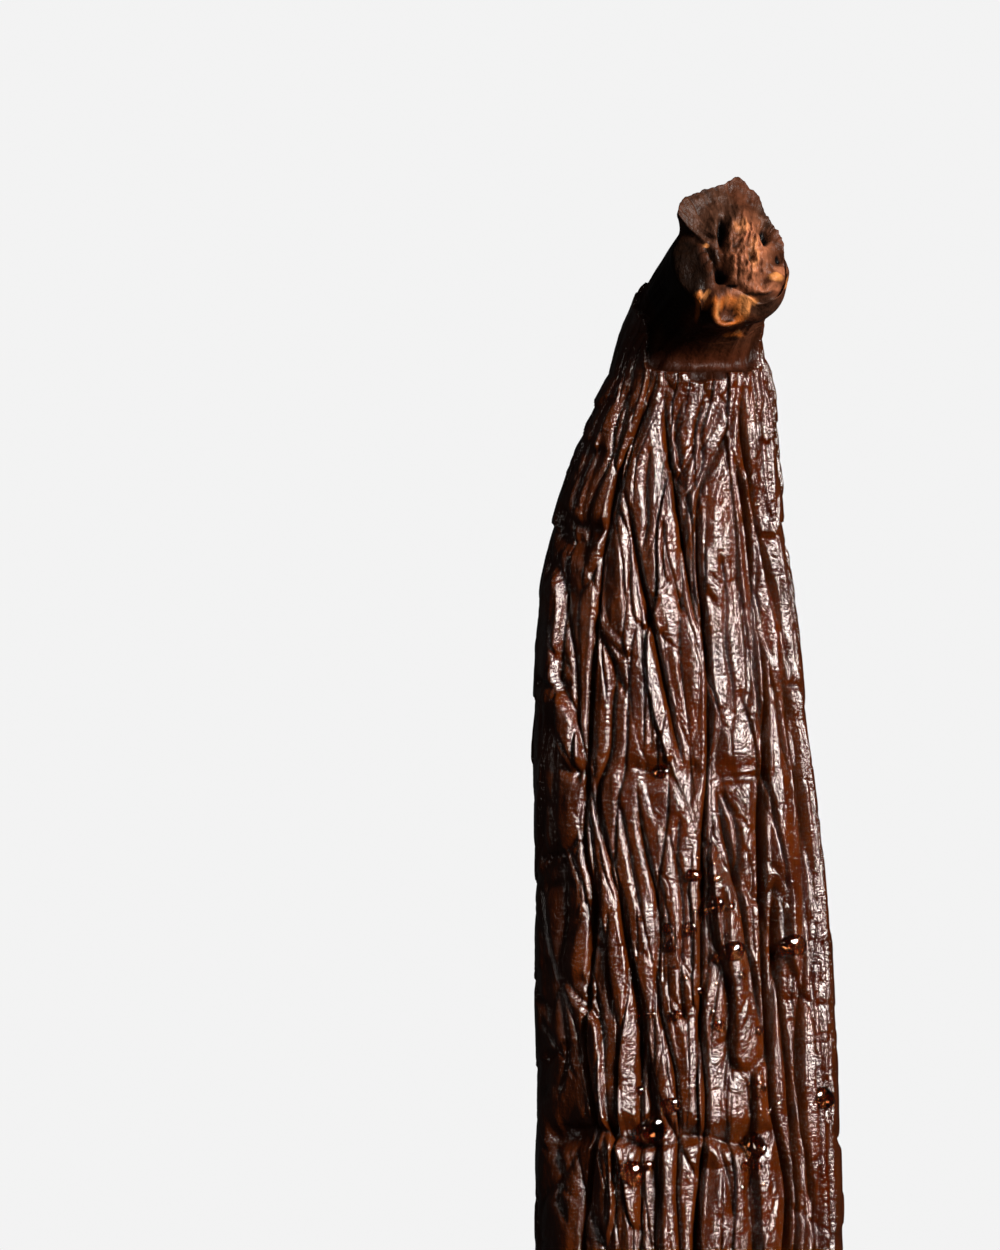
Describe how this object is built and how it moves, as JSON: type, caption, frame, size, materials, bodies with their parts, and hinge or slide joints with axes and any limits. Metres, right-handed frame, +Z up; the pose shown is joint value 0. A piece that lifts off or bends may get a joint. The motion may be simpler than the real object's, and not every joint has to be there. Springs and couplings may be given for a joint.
{
  "type": "vanilla pod",
  "caption": "Long dark wrinkled cured vanilla pod with a narrow shoulder, a short curved stem neck and a broken stem knob, lying flat.",
  "frame": {"origin": "middle of the pod's outline seen from above, on the surface it lies on", "axes": "+Y along the pod towards its stem end, +Z up, +X to the side that the blossom end bends to"},
  "size_m": [0.0148, 0.1498, 0.0077],
  "materials": {
    "pod_skin": "dark oily wrinkled skin, glossy"
  },
  "bodies": {
    "root": {"pod": "pod_skin"}
  },
  "joints": []
}
